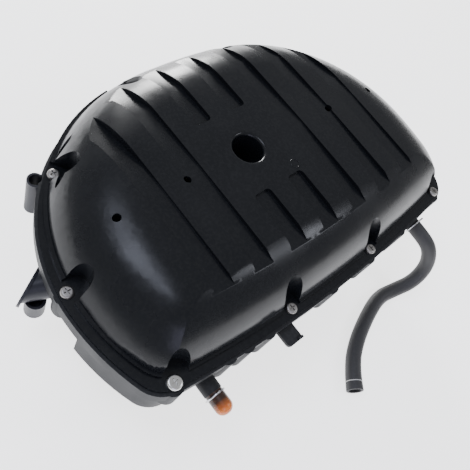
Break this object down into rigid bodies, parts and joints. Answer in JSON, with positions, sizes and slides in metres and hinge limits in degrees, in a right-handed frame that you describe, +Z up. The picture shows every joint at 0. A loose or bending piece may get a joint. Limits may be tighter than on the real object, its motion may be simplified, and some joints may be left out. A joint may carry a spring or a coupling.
{
  "type": "air filter housing",
  "caption": "D-shaped domed air filter housing with ribbed screw-on cover, filter element, intake ducts, rubber outlet boots, drain and breather hose.",
  "frame": {"origin": "middle of the case's flat underside, on the line of symmetry; the outlet boots and the hose reach below it", "axes": "+Z up through the cover, +X across the housing along its longest side, +Y towards the arched end"},
  "size_m": [0.4556, 0.368, 0.1535],
  "materials": {
    "cover_plastic": "satin moulded black, faint scuffs",
    "case_plastic": "moulded grey-black, matt",
    "duct_plastic": "moulded black, matt",
    "funnel_plastic": "moulded black, smooth",
    "screw_steel": "weathered zinc plate",
    "bright_steel": "bright plated",
    "clip_steel": "drawn wire",
    "clamp_steel": "rolled strip",
    "insert_brass": "machined",
    "seal_rubber": "moulded, matt",
    "boot_rubber": "moulded, matt",
    "hose_rubber": "moulded hose, charcoal",
    "filter_foam": "soft closed-cell foam",
    "filter_plastic": "moulded",
    "filter_paper": "oiled pleated paper",
    "drain_cap": "translucent amber brown"
  },
  "bodies": {
    "case": {"screw_inserts": "insert_brass", "cover_seal": "seal_rubber", "lower_case": "case_plastic", "outlet_boot_1": "boot_rubber", "intake_funnel_1": "funnel_plastic", "boot_clamp_1": "clamp_steel", "outlet_boot_2": "boot_rubber", "intake_funnel_2": "funnel_plastic", "boot_clamp_2": "clamp_steel", "outlet_boot_3": "boot_rubber", "intake_funnel_3": "funnel_plastic", "boot_clamp_3": "clamp_steel", "outlet_boot_4": "boot_rubber", "intake_funnel_4": "funnel_plastic", "boot_clamp_4": "clamp_steel", "clamp_screws": "screw_steel", "intake_duct_left": "duct_plastic", "intake_duct_right": "duct_plastic", "duct_seal_left": "seal_rubber", "duct_seal_right": "seal_rubber", "breather_hose": "hose_rubber", "breather_clip": "clip_steel", "cable_loop": "duct_plastic"},
    "cover": {"upper_cover": "cover_plastic", "cover_screws": "screw_steel", "corner_screw": "bright_steel"},
    "filter": {"filter_frame": "filter_plastic", "filter_pleats": "filter_paper", "filter_gasket": "filter_foam"},
    "drain": {"drain_cap": "drain_cap", "drain_clip": "clip_steel"}
  },
  "joints": [
    {"name": "cover_lift", "type": "slide", "parent": "case", "child": "cover", "axis": [0, 0, 1], "range_m": [0, 0.12]},
    {"name": "filter_lift", "type": "slide", "parent": "case", "child": "filter", "axis": [0, 0, 1], "range_m": [0, 0.06]},
    {"name": "drain_pull", "type": "slide", "parent": "case", "child": "drain", "axis": [0, -1, 0], "range_m": [0, 0.03]}
  ],
  "couplings": [
    {"joint": "filter_lift", "follows": "cover_lift", "ratio": 0.5}
  ]
}
